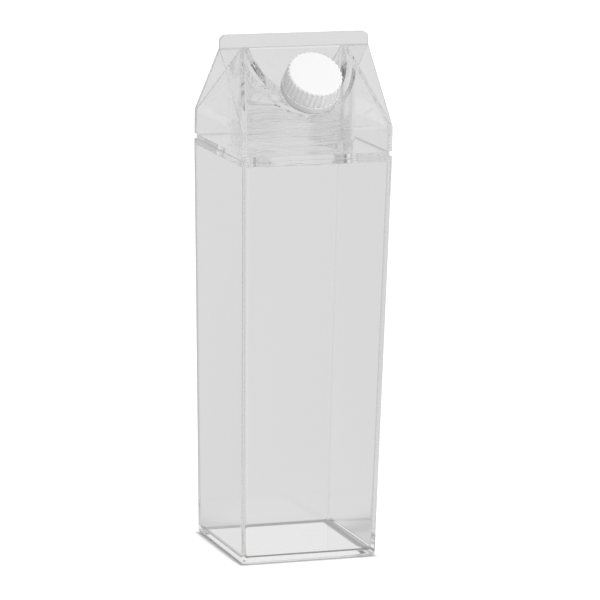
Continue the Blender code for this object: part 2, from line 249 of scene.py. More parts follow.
class Workshop:
    """Makes raw solids, joins and cuts them, and turns the result into plain pieces."""

    def __init__(self) -> None:
        """Opens a collection for the raw solids."""
        self.bench = bpy.data.collections.new("bench")
        bpy.context.scene.collection.children.link(self.bench)

    def add(self, name: str, mesh: bpy.types.Mesh) -> bpy.types.Object:
        """Puts a mesh on the bench as an object."""
        obj = bpy.data.objects.new(name, mesh)
        self.bench.objects.link(obj)
        return obj

    def from_bmesh(self, name: str, bm: bmesh.types.BMesh) -> bpy.types.Object:
        """Puts a bmesh on the bench as an object, and frees it."""
        mesh = bpy.data.meshes.new(name)
        bm.to_mesh(mesh)
        bm.free()
        return self.add(name, mesh)

    def flat_mesh(self, obj: bpy.types.Object) -> bpy.types.Mesh:
        """Mesh of an object with its modifiers applied."""
        bpy.context.view_layer.update()
        live = obj.evaluated_get(bpy.context.evaluated_depsgraph_get())
        return bpy.data.meshes.new_from_object(live)

    def box(
        self,
        name: str,
        heights: tuple[float, float],
        halves: tuple[float, float],
        corner: float,
        foot: float = 0.0,
        head: float = 0.0,
        steps: int = 8,
    ) -> bpy.types.Object:
        """Square box with rounded edges, which may widen upwards.

        Args:
            name: The object's name.
            heights: Levels of its foot and its head.
            halves: Half widths at its foot and its head.
            corner: Radius of the upright edges.
            foot: Radius of the edges round the foot.
            head: Radius of the edges round the head.
            steps: Segments in each round.

        Returns:
            The box.
        """
        low, high = heights
        grow = (halves[1] - halves[0]) / (high - low)
        levels = []
        for step in range(steps + 1 if foot > 0.0 else 1):
            angle = math.pi / 2.0 * (step / steps if foot > 0.0 else 1.0)
            levels.append((low + foot * (1.0 - math.cos(angle)), foot * (1.0 - math.sin(angle))))
        for step in range(steps + 1 if head > 0.0 else 1):
            angle = math.pi / 2.0 * (step / steps if head > 0.0 else 0.0)
            levels.append((high - head * (1.0 - math.sin(angle)), head * (1.0 - math.cos(angle))))
        bm = bmesh.new()
        rings = []
        for level, inset in levels:
            half = halves[0] + grow * (level - low) - inset
            radius = max(corner - inset, corner / 8.0)
            ring = []
            for quadrant in range(4):
                middle = math.radians(45.0 + 90.0 * quadrant)
                reach = (half - radius) * math.sqrt(2.0)
                for step in range(steps + 1):
                    angle = middle + math.radians(90.0 * step / steps - 45.0)
                    x = reach * math.cos(middle) + radius * math.cos(angle)
                    y = reach * math.sin(middle) + radius * math.sin(angle)
                    ring.append(bm.verts.new((x, y, level)))
            rings.append(ring)
        bm.faces.new(reversed(rings[0]))
        bm.faces.new(rings[-1])
        for below, above in zip(rings, rings[1:]):
            for index in range(len(below)):
                after = (index + 1) % len(below)
                bm.faces.new((below[index], below[after], above[after], above[index]))
        return self.from_bmesh(name, bm)

    def turned(
        self, name: str, profile: list[tuple[float, float]], steps: Quality, closed: bool = False
    ) -> bpy.types.Object:
        """Turns a profile round the Z axis.

        Args:
            name: The object's name.
            profile: Radius and height of each point, down the outer side.
            steps: Steps round the turn.
            closed: True for a ring, false for a profile that ends on the axis.

        Returns:
            The turned solid.
        """
        mesh = bpy.data.meshes.new(name)
        edges = [(i, i + 1) for i in range(len(profile) - 1)]
        if closed:
            edges.append((len(profile) - 1, 0))
        mesh.from_pydata([(radius, 0.0, height) for radius, height in profile], edges, [])
        obj = self.add(name, mesh)
        screw = obj.modifiers.new("turn", "SCREW")
        screw.steps = steps.value
        screw.render_steps = steps.value
        screw.use_merge_vertices = True
        screw.merge_threshold = MERGE_DISTANCE
        return obj

    def cylinder(
        self, name: str, radius: float, low: float, high: float, steps: Quality
    ) -> bpy.types.Object:
        """Plain cylinder about the Z axis."""
        return self.turned(name, [(0.0, high), (radius, high), (radius, low), (0.0, low)], steps)

    def hull(self, name: str, points: list[Vector], rounding: float = 0.0) -> bpy.types.Object:
        """Solid with flat faces round a few corner points.

        Args:
            name: The object's name.
            points: Its corners.
            rounding: Radius of all its edges.

        Returns:
            The solid.
        """
        bm = bmesh.new()
        for point in points:
            bm.verts.new(point)
        bmesh.ops.convex_hull(bm, input=bm.verts)
        bmesh.ops.dissolve_limit(bm, angle_limit=math.radians(0.1), verts=bm.verts, edges=bm.edges)
        if rounding > 0.0:
            bmesh.ops.bevel(bm, geom=bm.edges, offset=rounding, segments=4, profile=0.5, affect="EDGES")
        bmesh.ops.recalc_face_normals(bm, faces=bm.faces)
        return self.from_bmesh(name, bm)

    def plate(
        self, name: str, outline: list[tuple[float, float]], thickness: float, turn: Matrix
    ) -> bpy.types.Object:
        """Flat plate from an outline, turned to its plane.

        Args:
            name: The object's name.
            outline: Points across and up.
            thickness: Full thickness of the plate.
            turn: Matrix that takes across, up and thickness to the part's axes.

        Returns:
            The plate.
        """
        bm = bmesh.new()
        face = bm.faces.new([bm.verts.new((across, up, -thickness / 2.0)) for across, up in outline])
        grown = bmesh.ops.extrude_face_region(bm, geom=[face])
        lifted = [item for item in grown["geom"] if isinstance(item, bmesh.types.BMVert)]
        bmesh.ops.translate(bm, vec=(0.0, 0.0, thickness), verts=lifted)
        bmesh.ops.transform(bm, matrix=turn, verts=bm.verts)
        bmesh.ops.recalc_face_normals(bm, faces=bm.faces)
        return self.from_bmesh(name, bm)

    def combine(self, target: bpy.types.Object, tool: bpy.types.Object, operation: Operation) -> None:
        """Joins, cuts or trims the target by another solid.

        Args:
            target: The solid that changes.
            tool: The solid that changes it.
            operation: What is done.
        """
        modifier = target.modifiers.new(tool.name, "BOOLEAN")
        modifier.operation = operation.value
        modifier.solver = "EXACT"
        modifier.object = tool

    def soften(self, obj: bpy.types.Object, radius: float, least_angle: float = 20.0) -> bpy.types.Object:
        """Rounds every real edge of a solid.

        Args:
            obj: The solid, with its modifiers still live.
            radius: Radius of the rounds.
            least_angle: Edges flatter than this, in degrees, are left alone.

        Returns:
            A new object with the rounded solid.
        """
        bm = bmesh.new()
        bm.from_mesh(self.flat_mesh(obj))
        bmesh.ops.remove_doubles(bm, verts=bm.verts, dist=MERGE_DISTANCE)
        edges = [e for e in bm.edges if e.is_manifold and e.calc_face_angle() > math.radians(least_angle)]
        bmesh.ops.bevel(
            bm, geom=edges, offset=radius, segments=3, profile=0.5, affect="EDGES", clamp_overlap=True
        )
        return self.from_bmesh(obj.name + "_soft", bm)

    def piece(
        self,
        name: str,
        raw: bpy.types.Object,
        material: bpy.types.Material,
        place: Matrix | None = None,
        sharp_angle: float = 28.0,
    ) -> bpy.types.Object:
        """Makes a finished piece of a raw solid, as a plain mesh at the origin.

        Args:
            name: The piece's name.
            raw: The solid with its modifiers.
            material: The piece's material.
            place: Where the mesh goes, if not where it is.
            sharp_angle: Edges steeper than this, in degrees, stay sharp.

        Returns:
            The piece.
        """
        mesh = self.flat_mesh(raw)
        mesh.name = name
        if place is not None:
            mesh.transform(place)
        mesh.materials.clear()
        mesh.materials.append(material)
        mesh.shade_smooth()
        mesh.set_sharp_from_angle(angle=math.radians(sharp_angle))
        smooth = self.add(name + "_smooth", mesh)
        weighted = smooth.modifiers.new("even_faces", "WEIGHTED_NORMAL")
        weighted.mode = "FACE_AREA"
        weighted.weight = 100
        weighted.keep_sharp = True
        obj = bpy.data.objects.new(name, self.flat_mesh(smooth))
        bpy.context.scene.collection.objects.link(obj)
        LOG.info("%s: %d faces", name, len(mesh.polygons))
        return obj

    def clear(self) -> None:
        """Removes the raw solids."""
        for obj in list(self.bench.objects):
            bpy.data.objects.remove(obj, do_unlink=True)
        bpy.data.collections.remove(self.bench)


class GrowingTree(Tree):
    """Geometry Nodes tree with named inputs."""

    def __init__(self, name: str) -> None:
        """Starts an empty tree with a mesh output."""
        super().__init__(bpy.data.node_groups.new(name, "GeometryNodeTree"))
        self.group.interface.new_socket("Geometry", in_out="OUTPUT", socket_type="NodeSocketGeometry")
        self.inputs = self.node("NodeGroupInput")
        self.output = self.node("NodeGroupOutput")

    def number(self, name: str, value: float) -> Socket:
        """Adds a named number, and gives its socket inside the tree."""
        socket = self.group.interface.new_socket(name, in_out="INPUT", socket_type="NodeSocketFloat")
        socket.default_value = value
        return self.inputs.outputs[name]

    def whole(self, name: str, value: int) -> Socket:
        """Adds a named whole number, and gives its socket inside the tree."""
        socket = self.group.interface.new_socket(name, in_out="INPUT", socket_type="NodeSocketInt")
        socket.default_value = value
        return self.inputs.outputs[name]

    def close(self, geometry: Socket, material: bpy.types.Material) -> None:
        """Ends the tree in Realize Instances and Set Material."""
        realize = self.node("GeometryNodeRealizeInstances")
        paint = self.node("GeometryNodeSetMaterial", {"Material": material})
        self.link(geometry, realize.inputs["Geometry"])
        self.link(realize.outputs["Geometry"], paint.inputs["Geometry"])
        self.link(paint.outputs["Geometry"], self.output.inputs["Geometry"])

    def run(self, shop: Workshop, name: str, values: dict[str, float]) -> bpy.types.Object:
        """Puts an object on the bench that runs the tree.

        Args:
            shop: Where the object goes.
            name: The object's name.
            values: A value for each named input.

        Returns:
            The object, with its mesh made by the tree.
        """
        obj = shop.add(name, bpy.data.meshes.new(name))
        modifier = obj.modifiers.new("grow", "NODES")
        modifier.node_group = self.group
        for item in self.group.interface.items_tree:
            if item.in_out == "INPUT" and item.name in values:
                modifier[item.identifier] = values[item.name]
        grown = shop.flat_mesh(obj)
        obj.modifiers.remove(modifier)
        obj.data = grown
        return obj


def thread_tree(material: bpy.types.Material) -> GrowingTree:
    """Tree for a helical ridge whose ends fade out.

    Args:
        material: Set on the ridge.

    Returns:
        The tree, with inputs for the ridge's radius, depth, pitch and turns, the height and
        angle of its start, the share that fades at each end, and its steps.
    """
    least_swell = 0.15
    sides = 14
    tree = GrowingTree("thread_ridge")
    radius = tree.number("Radius", 0.03)
    depth = tree.number("Depth", 0.001)
    pitch = tree.number("Pitch", 0.006)
    turns = tree.number("Turns", 1.5)
    start = tree.number("Start", 0.2)
    angle = tree.number("Angle", 0.0)
    fade = tree.number("Fade", 0.06)
    steps = tree.whole("Steps", 240)
    line = tree.node("GeometryNodeMeshLine", {"Offset": (0.0, 0.0, 0.0)})
    tree.link(steps, line.inputs["Count"])
    index = tree.node("GeometryNodeInputIndex").outputs[0]
    share = tree.math("DIVIDE", index, tree.math("SUBTRACT", steps, 1.0))
    turned = tree.math("ADD", angle, tree.math("MULTIPLY", share, tree.math("MULTIPLY", turns, math.tau)))
    height = tree.math("ADD", start, tree.math("MULTIPLY", share, tree.math("MULTIPLY", turns, pitch)))
    spot = tree.node("ShaderNodeCombineXYZ")
    tree.link(tree.math("MULTIPLY", radius, tree.math("COSINE", turned)), spot.inputs["X"])
    tree.link(tree.math("MULTIPLY", radius, tree.math("SINE", turned)), spot.inputs["Y"])
    tree.link(height, spot.inputs["Z"])
    placed = tree.node("GeometryNodeSetPosition")
    tree.link(line.outputs["Mesh"], placed.inputs["Geometry"])
    tree.link(spot.outputs[0], placed.inputs["Position"])
    curve = tree.node("GeometryNodeMeshToCurve")
    tree.link(placed.outputs["Geometry"], curve.inputs["Mesh"])
    upright = tree.node("GeometryNodeSetCurveNormal", mode="Z_UP")
    tree.link(curve.outputs["Curve"], upright.inputs["Curve"])
    nearest_end = tree.math("MINIMUM", share, tree.math("SUBTRACT", 1.0, share))
    faded = tree.math("MINIMUM", tree.math("DIVIDE", nearest_end, fade), 1.0)
    swell = tree.math("ADD", tree.math("MULTIPLY", faded, 1.0 - least_swell), least_swell)
    outline = tree.node("GeometryNodeCurvePrimitiveCircle", {"Resolution": sides})
    tree.link(depth, outline.inputs["Radius"])
    sweep = tree.node("GeometryNodeCurveToMesh", {"Fill Caps": True})
    tree.link(upright.outputs["Curve"], sweep.inputs["Curve"])
    tree.link(outline.outputs["Curve"], sweep.inputs["Profile Curve"])
    tree.link(swell, sweep.inputs["Scale"])
    tree.close(sweep.outputs["Mesh"], material)
    return tree


def ring_tree(material: bpy.types.Material) -> GrowingTree:
    """Tree for small upright blocks with round sides, evenly spaced on a circle.

    Args:
        material: Set on the blocks.

    Returns:
        The tree, with inputs for the blocks' count, the circle's radius and level, and each
        block's radius, height and lean.
    """
    sides = 10
    tree = GrowingTree("ring_of_blocks")
    count = tree.whole("Count", 100)
    radius = tree.number("Radius", 0.014)
    level = tree.number("Level", 0.008)
    block_radius = tree.number("Block Radius", 0.0003)
    block_height = tree.number("Block Height", 0.008)
    lean = tree.number("Lean", 0.0)
    ring = tree.node("GeometryNodeMeshCircle")
    tree.link(count, ring.inputs["Vertices"])
    tree.link(radius, ring.inputs["Radius"])
    lift = tree.node("GeometryNodeTransform")
    lift_by = tree.node("ShaderNodeCombineXYZ")
    tree.link(level, lift_by.inputs["Z"])
    tree.link(ring.outputs["Mesh"], lift.inputs["Geometry"])
    tree.link(lift_by.outputs[0], lift.inputs["Translation"])
    block = tree.node("GeometryNodeMeshCylinder", {"Vertices": sides})
    tree.link(block_radius, block.inputs["Radius"])
    tree.link(block_height, block.inputs["Depth"])
    share = tree.math("DIVIDE", tree.node("GeometryNodeInputIndex").outputs[0], count)
    turn = tree.node("ShaderNodeCombineXYZ")
    tree.link(lean, turn.inputs["Y"])
    tree.link(tree.math("MULTIPLY", share, math.tau), turn.inputs["Z"])
    copies = tree.node("GeometryNodeInstanceOnPoints")
    tree.link(lift.outputs["Geometry"], copies.inputs["Points"])
    tree.link(block.outputs["Mesh"], copies.inputs["Instance"])
    tree.link(turn.outputs[0], copies.inputs["Rotation"])
    tree.close(copies.outputs["Instances"], material)
    return tree


@dataclass
class Thread:
    """Screw thread of the neck, which the top's collar follows half a pitch away."""

    depth: float = 0.0008
    pitch: float = 0.0067
    start: float = 0.2148
    turns: float = 1.45
    nut_turns: float = 1.2
    fade: float = 0.06
    start_angle: float = math.radians(-150.0)

    def ridge(
        self, shop: Workshop, tree: GrowingTree, name: str, radius: float, start: float, turns: float
    ) -> bpy.types.Object:
        """Grows one ridge on a cylinder of the given radius."""
        return tree.run(shop, name, {
            "Radius": radius,
            "Depth": self.depth,
            "Pitch": self.pitch,
            "Turns": turns,
            "Start": start,
            "Angle": self.start_angle,
            "Fade": self.fade,
            "Steps": round(turns * Quality.LARGE.value),
        })


@dataclass
class BottleBody:
    """Square box with its floor, shoulder, step, threaded neck and stop lug."""

    foot_half: float = 0.0364
    shoulder_half: float = 0.0402
    shoulder_z: float = 0.2099
    ceiling_z: float = 0.2072
    floor_thickness: float = 0.0030
    wall: float = 0.0018
    corner: float = 0.0011
    foot_round: float = 0.0022
    shoulder_round: float = 0.0004
    inner_corner: float = 0.0014
    inner_foot_round: float = 0.0026
    inner_head_round: float = 0.0006
    step_half: float = 0.0392
    step_z: float = 0.2121
    neck_radius: float = 0.0287
    neck_bore: float = 0.0273
    neck_z: float = 0.2265
    lip_round: float = 0.0005
    lug_radius: float = 0.0343
    lug_angle: float = math.radians(-53.8)
    lug_size: tuple[float, float, float] = (0.0020, 0.0060, 0.0045)
    lug_round: float = 0.0003
    sink: float = 0.001

    def half_at(self, height: float) -> float:
        """Half width of the outside at a height."""
        return self.foot_half + (self.shoulder_half - self.foot_half) * height / self.shoulder_z

    def lug(self, shop: Workshop) -> bpy.types.Object:
        """Small upright block beside the neck."""
        across, along, tall = self.lug_size
        bm = bmesh.new()
        bmesh.ops.create_cube(bm, size=1.0)
        bmesh.ops.scale(bm, vec=(across, along, tall + self.sink), verts=bm.verts)
        bmesh.ops.bevel(bm, geom=bm.edges, offset=self.lug_round, segments=2, profile=0.5, affect="EDGES")
        place = Matrix.Rotation(self.lug_angle, 4, "Z") @ Matrix.Translation(
            (self.lug_radius, 0.0, self.step_z + (tall - self.sink) / 2.0)
        )
        bmesh.ops.transform(bm, matrix=place, verts=bm.verts)
        return shop.from_bmesh("stop_lug", bm)

    def build(
        self, shop: Workshop, thread: Thread, tree: GrowingTree, finish: ClearAcrylic
    ) -> bpy.types.Object:
        """Builds the box as one clear piece.

        Args:
            shop: Makes the solids.
            thread: Sizes of the thread.
            tree: Grows the thread.
            finish: The clear finish.

        Returns:
            The piece.
        """
        body = shop.box("body_outside", (0.0, self.shoulder_z), (self.foot_half, self.shoulder_half),
                        self.corner, self.foot_round, self.shoulder_round)
        sunk = self.ceiling_z + self.sink
        step = shop.box("body_step", (sunk, self.step_z), (self.step_half, self.step_half),
                        self.corner, head=self.shoulder_round / 2.0)
        shop.combine(body, step, Operation.JOIN)
        r, lip = self.neck_radius, self.lip_round
        neck_profile = [(0.0, self.neck_z)]
        neck_profile += quarter(r - lip, self.neck_z - lip, lip, 90.0, 4)
        neck_profile += [(r, sunk), (0.0, sunk)]
        shop.combine(body, shop.turned("neck", neck_profile, Quality.LARGE), Operation.JOIN)
        ridge = thread.ridge(shop, tree, "neck_thread", r, thread.start, thread.turns)
        shop.combine(body, ridge, Operation.JOIN)
        shop.combine(body, self.lug(shop), Operation.JOIN)
        inside = shop.box(
            "body_inside", (self.floor_thickness, self.ceiling_z),
            (self.half_at(self.floor_thickness) - self.wall, self.half_at(self.ceiling_z) - self.wall),
            self.inner_corner, self.inner_foot_round, self.inner_head_round)
        shop.combine(body, inside, Operation.CUT)
        bore = shop.cylinder("neck_bore", self.neck_bore, self.ceiling_z - CUT_MARGIN,
                             self.neck_z + CUT_MARGIN, Quality.LARGE)
        shop.combine(body, bore, Operation.CUT)
        return shop.piece("clear_box", body, finish.material())


def quarter(
    centre_r: float, centre_z: float, radius: float, first: float, steps: int
) -> list[tuple[float, float]]:
    """Quarter circle in a profile, turning down the outer side.

    Args:
        centre_r: Radius of the arc's centre from the axis.
        centre_z: Height of the arc's centre.
        radius: Radius of the arc.
        first: Angle of its first point in degrees.
        steps: Segments in the arc.

    Returns:
        The arc's points as radius and height.
    """
    points = []
    for step in range(steps + 1):
        angle = math.radians(first - 90.0 * step / steps)
        points.append((centre_r + radius * math.cos(angle), centre_z + radius * math.sin(angle)))
    return points


@dataclass
class Spout:
    """Slanted spout, square to the front slope, and the frame that the cap shares."""

    seat: tuple[float, float, float] = (0.0, -0.0246, 0.2428)
    radius: float = 0.0124
    bore: float = 0.0104
    foot_z: float = 0.2315
    rise: float = 0.0118
    depth: float = 0.0260
    lip_round: float = 0.0006
    flange_radius: float = 0.0142
    flange_thickness: float = 0.0010
    flange_drop: float = 0.0004

    def frame(self, slope: float) -> Matrix:
        """Seat of the cap as origin, with Z along the spout."""
        return Matrix.Translation(self.seat) @ Matrix.Rotation(slope, 4, "X")

    def outside(self, shop: Workshop, slope: float) -> bpy.types.Object:
        """Solid spout with its support flange."""
        low = -self.flange_drop - self.flange_thickness
        edge = self.flange_thickness / 2.0
        profile = [(0.0, self.rise)]
        lip = self.lip_round
        profile += quarter(self.radius - lip, self.rise - lip, lip, 90.0, 4)
        profile += [(self.radius, -self.flange_drop)]
        profile += quarter(self.flange_radius - edge, -self.flange_drop - edge, edge, 90.0, 4)
        profile += quarter(self.flange_radius - edge, low + edge, edge, 0.0, 4)[1:]
        profile += [(self.radius, low), (self.radius, -self.depth), (0.0, -self.depth)]
        obj = shop.turned("spout", profile, Quality.MEDIUM)
        obj.matrix_world = self.frame(slope)
        return obj

    def inside(self, shop: Workshop, slope: float) -> bpy.types.Object:
        """Bore of the spout."""
        obj = shop.cylinder("spout_bore", self.bore, -self.depth, self.rise + CUT_MARGIN, Quality.MEDIUM)
        obj.matrix_world = self.frame(slope)
        return obj


@dataclass
class GableTop:
    """Folded gable shell with its fin, collar, pocket and spout, all one moulding."""

    half: float = 0.0400
    foot_z: float = 0.2124
    eave_z: float = 0.2254
    ridge_z: float = 0.2635
    fin_z: float = 0.2690
    fin_thickness: float = 0.0030
    fin_corner: float = 0.0034
    fin_fillet: float = 0.0023
    wall: float = 0.0019
    setback: float = 0.0119
    collar_radius: float = 0.0317
    collar_bore: float = 0.0298
    collar_foot_z: float = 0.2127
    pocket_radius: float = 0.0246
    pocket_floor_z: float = 0.2354
    pocket_floor_thickness: float = 0.0020
    cup_radius: float = 0.0270
    cup_foot_z: float = 0.2160
    chamber_radius: float = 0.0248
    edge_round: float = 0.00035
    inner_round: float = 0.0008

    @property
    def slope(self) -> float:
        """Angle of the two slopes."""
        return math.atan2(self.ridge_z - self.eave_z, self.half)

    @property
    def lean(self) -> float:
        """Angle of the folded side panels from upright."""
        return math.atan2(self.setback, self.ridge_z - self.eave_z)

    @property
    def inner_ridge(self) -> float:
        """Height where the inner faces of the slopes meet."""
        return self.ridge_z - self.wall / math.cos(self.slope)

    def panel_x(self, height: float) -> float:
        """Where a side panel's outer face is at a height on the middle plane."""
        return self.half - self.setback * (height - self.eave_z) / (self.ridge_z - self.eave_z)

    def hip(self, inset: float) -> list[Vector]:
        """Corners of the gable's inner form, set in from the outside by a distance."""
        half = self.half - inset
        ridge = self.ridge_z - inset / math.cos(self.slope)
        eave = ridge - half * math.tan(self.slope)
        ridge_half = self.panel_x(ridge) - inset / math.cos(self.lean)
        foot = self.foot_z - CUT_MARGIN
        points = [Vector((x * half, y * half, z)) for x in (-1, 1) for y in (-1, 1) for z in (foot, eave)]
        points += [Vector((x * ridge_half, 0.0, ridge)) for x in (-1, 1)]
        return points

    def section(self) -> list[tuple[float, float]]:
        """Gable and fin seen from the side, with a fillet at the foot of the fin."""
        fin_half = self.fin_thickness / 2.0
        turn = math.pi / 2.0 - self.slope
        fillet = self.fin_fillet
        centre_y = fin_half + fillet
        centre_z = self.ridge_z - fin_half * math.tan(self.slope) + fillet * math.tan(turn / 2.0)
        half = [(fin_half, self.fin_z + CUT_MARGIN)]
        steps = 8
        for step in range(steps + 1):
            angle = math.pi + turn * step / steps
            half.append((centre_y + fillet * math.cos(angle), centre_z + fillet * math.sin(angle)))
        half += [(self.half, self.eave_z), (self.half, self.foot_z)]
        return half + [(-across, up) for across, up in reversed(half)]

    def front_view(self) -> list[tuple[float, float]]:
        """Gable and fin seen from the front, with the fin's rounded corners."""
        half = []
        steps = 10
        for step in range(steps + 1):
            angle = math.pi / 2.0 * (1.0 - step / steps)
            half.append((self.half - self.fin_corner + self.fin_corner * math.cos(angle),
                         self.fin_z - self.fin_corner + self.fin_corner * math.sin(angle)))
        half.append((self.half, self.foot_z - CUT_MARGIN))
        return half + [(-across, up) for across, up in reversed(half)]

    def envelope(self, shop: Workshop) -> bpy.types.Object:
        """Full outer form: gable, fin, and the folded-in side panels."""
        wide = self.half + CUT_MARGIN
        along_x = Matrix(((0, 0, 1, 0), (1, 0, 0, 0), (0, 1, 0, 0), (0, 0, 0, 1)))
        along_y = Matrix(((1, 0, 0, 0), (0, 0, 1, 0), (0, 1, 0, 0), (0, 0, 0, 1)))
        top = shop.plate("gable", self.section(), 2.0 * wide, along_x)
        shop.combine(top, shop.plate("front_view", self.front_view(), 2.0 * wide, along_y), Operation.TRIM)
        eave_y = (self.inner_ridge - self.eave_z) / math.tan(self.slope)
        for side, name in ((-1, "left_fold"), (1, "right_fold")):
            points = [Vector((side * x, y * eave_y, self.eave_z))
                      for x in (self.half, wide) for y in (-1, 1)]
            points += [Vector((side * self.panel_x(self.inner_ridge), 0.0, self.inner_ridge)),
                       Vector((side * wide, 0.0, self.inner_ridge))]
            shop.combine(top, shop.hull(name, points), Operation.CUT)
        return shop.soften(top, self.edge_round)

    def core(self, shop: Workshop, thread: Thread, tree: GrowingTree) -> bpy.types.Object:
        """Threaded collar and the cup of the pocket, trimmed inside the shell's wall."""
        collar = shop.turned("collar", [
            (self.collar_bore, self.ridge_z), (self.collar_radius, self.ridge_z),
            (self.collar_radius, self.collar_foot_z), (self.collar_bore, self.collar_foot_z)],
            Quality.LARGE, closed=True)
        nut_start = thread.start + thread.pitch / 2.0
        ridge = thread.ridge(shop, tree, "collar_thread", self.collar_bore, nut_start, thread.nut_turns)
        shop.combine(collar, ridge, Operation.JOIN)
        chamber_z = self.pocket_floor_z - self.pocket_floor_thickness
        cup = shop.turned("pocket_cup", [
            (0.0, self.ridge_z), (self.cup_radius, self.ridge_z), (self.cup_radius, self.cup_foot_z),
            (self.chamber_radius, self.cup_foot_z), (self.chamber_radius, chamber_z), (0.0, chamber_z)],
            Quality.LARGE)
        shop.combine(collar, cup, Operation.JOIN)
        shop.combine(collar, shop.hull("core_trim", self.hip(self.wall / 2.0)), Operation.TRIM)
        return collar

    def pocket(self, shop: Workshop) -> bpy.types.Object:
        """Upright round cut through the front slope, up to the back slope's inner face."""
        back_y = (self.inner_ridge - self.pocket_floor_z) / math.tan(self.slope)
        fin_front = self.fin_thickness / 2.0
        fin_foot = self.ridge_z - fin_front * math.tan(self.slope)
        wide = self.half + CUT_MARGIN
        side_view = ((-wide, self.pocket_floor_z), (back_y, self.pocket_floor_z), (0.0, self.inner_ridge),
                     (-fin_front, fin_foot), (-wide, fin_foot))
        corners = [Vector((x * wide, y, z)) for x in (-1, 1) for y, z in side_view]
        wedge = shop.hull("pocket_wedge", corners)
        cut = shop.cylinder("pocket_cut", self.pocket_radius, self.pocket_floor_z - CUT_MARGIN,
                            self.fin_z, Quality.LARGE)
        shop.combine(cut, wedge, Operation.TRIM)
        return cut

    def build(
        self, shop: Workshop, thread: Thread, tree: GrowingTree, spout: Spout, finish: ClearAcrylic
    ) -> bpy.types.Object:
        """Builds the top as one clear piece.

        Args:
            shop: Makes the solids.
            thread: Sizes of the thread.
            tree: Grows the thread.
            spout: The spout in its front slope.
            finish: The clear finish.

        Returns:
            The piece.
        """
        top = self.envelope(shop)
        shop.combine(top, shop.hull("top_inside", self.hip(self.wall), self.inner_round), Operation.CUT)
        shop.combine(top, self.core(shop, thread, tree), Operation.JOIN)
        shop.combine(top, self.pocket(shop), Operation.CUT)
        spout_solid = spout.outside(shop, self.slope)
        wide = self.half + CUT_MARGIN
        above_foot = shop.hull("spout_trim", [Vector((x * wide, y * wide, z)) for x in (-1, 1)
                                              for y in (-1, 1) for z in (spout.foot_z, self.fin_z)])
        shop.combine(spout_solid, above_foot, Operation.TRIM)
        shop.combine(top, spout_solid, Operation.JOIN)
        shop.combine(top, spout.inside(shop, self.slope), Operation.CUT)
        return shop.piece("clear_gable_top", top, finish.material())


@dataclass
class ScrewCap:
    """White cap with a ribbed skirt, and the tamper band that hangs from it."""

    height: float = 0.0141
    band_radius: float = 0.0149
    band_height: float = 0.0039
    slit: float = 0.0003
    skirt_radius: float = 0.0143
    top_radius: float = 0.0137
    top_round: float = 0.0008
    crown: float = 0.00015
    bore: float = 0.0129
    top_thickness: float = 0.0015
    ribs: int = 34
    rib_radius: float = 0.0010
    rib_proud: float = 0.0005
    rib_clearance: float = 0.0003
    bridges: int = 34
    bridge_radius: float = 0.0006
    chamfer: float = 0.0002
    band_edge: float = 0.0001

    def skirt(self, shop: Workshop) -> bpy.types.Object:
        """Cap without its ribs."""
        foot = self.band_height + self.slit
        rounding = self.top_round
        profile = [(0.0, self.height + self.crown),
                   (self.top_radius * 0.5, self.height + self.crown * 0.75)]
        profile += quarter(self.top_radius - rounding, self.height - rounding, rounding, 90.0, 8)
        profile += [(self.skirt_radius, foot + self.chamfer), (self.skirt_radius - self.chamfer, foot),
                    (self.bore, foot), (self.bore, self.height - self.top_thickness),
                    (0.0, self.height - self.top_thickness)]
        return shop.turned("cap_skirt", profile, Quality.MEDIUM)

    def band(self, shop: Workshop) -> bpy.types.Object:
        """Tamper band."""
        edge, outer, low, high = self.band_edge, self.band_radius, 0.0, self.band_height
        profile = [(self.bore, high)]
        profile += quarter(outer - edge, high - edge, edge, 90.0, 3)
        profile += quarter(outer - edge, low + edge, edge, 0.0, 3)
        profile += [(self.bore, low)]
        return shop.turned("tamper_band", profile, Quality.MEDIUM, closed=True)

    def build(self, shop: Workshop, place: Matrix, finish: WhitePlastic) -> list[bpy.types.Object]:
        """Builds the cap's pieces on the spout.

        Args:
            shop: Makes the solids.
            place: Frame of the spout.
            finish: The white finish.

        Returns:
            The pieces.
        """
        white = finish.material()
        tree = ring_tree(white)
        rib_low = self.band_height + self.slit + self.rib_clearance
        rib_high = self.height - self.top_round * 0.9
        ribs = tree.run(shop, "rib_ring", {
            "Count": self.ribs,
            "Radius": (self.skirt_radius + self.top_radius) / 2.0 - self.rib_radius + self.rib_proud,
            "Level": (rib_low + rib_high) / 2.0,
            "Block Radius": self.rib_radius,
            "Block Height": rib_high - rib_low,
            "Lean": -math.atan2(self.skirt_radius - self.top_radius, rib_high - rib_low),
        })
        bridges = tree.run(shop, "bridge_ring", {
            "Count": self.bridges,
            "Radius": self.skirt_radius + self.rib_proud - self.bridge_radius,
            "Level": self.band_height + self.slit / 2.0,
            "Block Radius": self.bridge_radius,
            "Block Height": self.slit + self.chamfer,
            "Lean": 0.0,
        })
        return [
            shop.piece("white_cap", self.skirt(shop), white, place, 40.0),
            shop.piece("white_cap_ribs", ribs, white, place, 60.0),
            shop.piece("white_tamper_band", self.band(shop), white, place, 40.0),
            shop.piece("white_tamper_bridges", bridges, white, place, 60.0),
        ]


